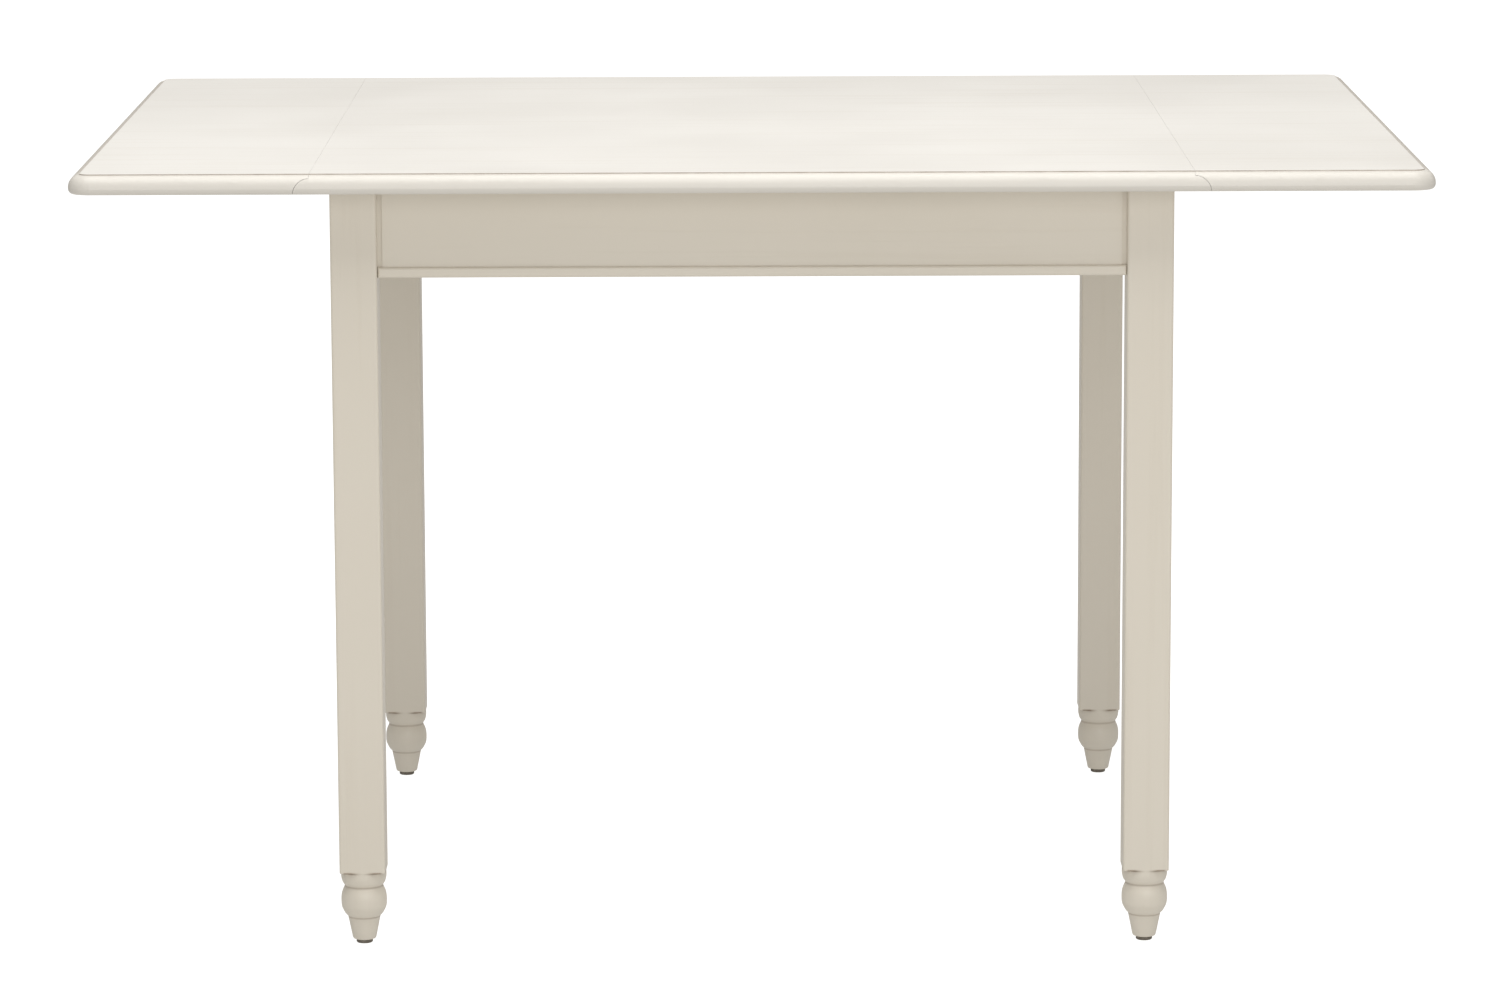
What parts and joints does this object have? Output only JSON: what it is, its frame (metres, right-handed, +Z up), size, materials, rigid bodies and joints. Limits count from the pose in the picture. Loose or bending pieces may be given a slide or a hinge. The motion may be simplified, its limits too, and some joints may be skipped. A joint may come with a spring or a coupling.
{
  "type": "drop leaf table",
  "caption": "Painted wooden table on straight square legs with turned feet, with a drop leaf at each end held by slotted stays.",
  "frame": {"origin": "on the floor, under the centre of the top", "axes": "+X along the table's length towards the right leaf, +Y towards the rear, +Z up; both leaves are up at rest"},
  "size_m": [1.295, 0.914, 0.762],
  "materials": {
    "painted_top": "satin cream paint",
    "painted_frame": "satin cream paint",
    "bare_wood": "unfinished",
    "glide": "matte",
    "hinge_steel": "satin",
    "stay_steel": "satin",
    "fastener_zinc": "zinc plated"
  },
  "bodies": {
    "table": {"apron_bead_front": "painted_frame", "apron_bead_left": "painted_frame", "apron_bead_rear": "painted_frame", "apron_bead_right": "painted_frame", "apron_front": "painted_frame", "apron_left": "painted_frame", "apron_rear": "painted_frame", "apron_right": "painted_frame", "corner_block_front_left": "bare_wood", "corner_block_front_right": "bare_wood", "corner_block_rear_left": "bare_wood", "corner_block_rear_right": "bare_wood", "corner_block_screws": "fastener_zinc", "glide_front_left": "glide", "glide_front_right": "glide", "glide_rear_left": "glide", "glide_rear_right": "glide", "hanger_bolts": "fastener_zinc", "hanger_nuts": "fastener_zinc", "hanger_washers": "fastener_zinc", "hinge_pins": "fastener_zinc", "hinge_top_plate_left_front": "hinge_steel", "hinge_top_plate_left_middle": "hinge_steel", "hinge_top_plate_left_rear": "hinge_steel", "hinge_top_plate_right_front": "hinge_steel", "hinge_top_plate_right_middle": "hinge_steel", "hinge_top_plate_right_rear": "hinge_steel", "leg_front_left": "painted_frame", "leg_front_right": "painted_frame", "leg_rear_left": "painted_frame", "leg_rear_right": "painted_frame", "stay_bracket_left_front": "stay_steel", "stay_bracket_left_rear": "stay_steel", "stay_bracket_right_front": "stay_steel", "stay_bracket_right_rear": "stay_steel", "stay_pivot_studs": "fastener_zinc", "top_angles": "stay_steel", "top_centre": "painted_top", "underside_screws": "fastener_zinc"},
    "left_leaf": {"hinge_leaf_plate_left_front": "hinge_steel", "hinge_leaf_plate_left_middle": "hinge_steel", "hinge_leaf_plate_left_rear": "hinge_steel", "leaf_left": "painted_top", "leaf_screws_left": "fastener_zinc", "stay_slot_plates_left": "stay_steel"},
    "left_front_stay": {"stay_bar_left_front": "stay_steel", "stay_stud_left_front": "fastener_zinc"},
    "left_rear_stay": {"stay_bar_left_rear": "stay_steel", "stay_stud_left_rear": "fastener_zinc"},
    "right_leaf": {"hinge_leaf_plate_right_front": "hinge_steel", "hinge_leaf_plate_right_middle": "hinge_steel", "hinge_leaf_plate_right_rear": "hinge_steel", "leaf_right": "painted_top", "leaf_screws_right": "fastener_zinc", "stay_slot_plates_right": "stay_steel"},
    "right_front_stay": {"stay_bar_right_front": "stay_steel", "stay_stud_right_front": "fastener_zinc"},
    "right_rear_stay": {"stay_bar_right_rear": "stay_steel", "stay_stud_right_rear": "fastener_zinc"}
  },
  "joints": [
    {"name": "left_leaf_hinge", "type": "hinge", "parent": "table", "child": "left_leaf", "pos_m": [-0.4185, 0, 0.743], "axis": [0, -1, 0], "range_deg": [0, 90]},
    {"name": "left_front_stay_pivot", "type": "hinge", "parent": "table", "child": "left_front_stay", "pos_m": [-0.4075, -0.2319, 0.732], "axis": [0, -1, 0], "range_deg": [0, 90]},
    {"name": "left_rear_stay_pivot", "type": "hinge", "parent": "table", "child": "left_rear_stay", "pos_m": [-0.4075, 0.2319, 0.732], "axis": [0, -1, 0], "range_deg": [0, 90]},
    {"name": "right_leaf_hinge", "type": "hinge", "parent": "table", "child": "right_leaf", "pos_m": [0.4185, 0, 0.743], "axis": [0, 1, 0], "range_deg": [0, 90]},
    {"name": "right_front_stay_pivot", "type": "hinge", "parent": "table", "child": "right_front_stay", "pos_m": [0.4075, -0.2319, 0.732], "axis": [0, 1, 0], "range_deg": [0, 90]},
    {"name": "right_rear_stay_pivot", "type": "hinge", "parent": "table", "child": "right_rear_stay", "pos_m": [0.4075, 0.2319, 0.732], "axis": [0, 1, 0], "range_deg": [0, 90]}
  ],
  "couplings": [
    {"joint": "left_front_stay_pivot", "follows": "left_leaf_hinge", "ratio": 1},
    {"joint": "left_rear_stay_pivot", "follows": "left_leaf_hinge", "ratio": 1},
    {"joint": "right_front_stay_pivot", "follows": "right_leaf_hinge", "ratio": 1},
    {"joint": "right_rear_stay_pivot", "follows": "right_leaf_hinge", "ratio": 1}
  ]
}
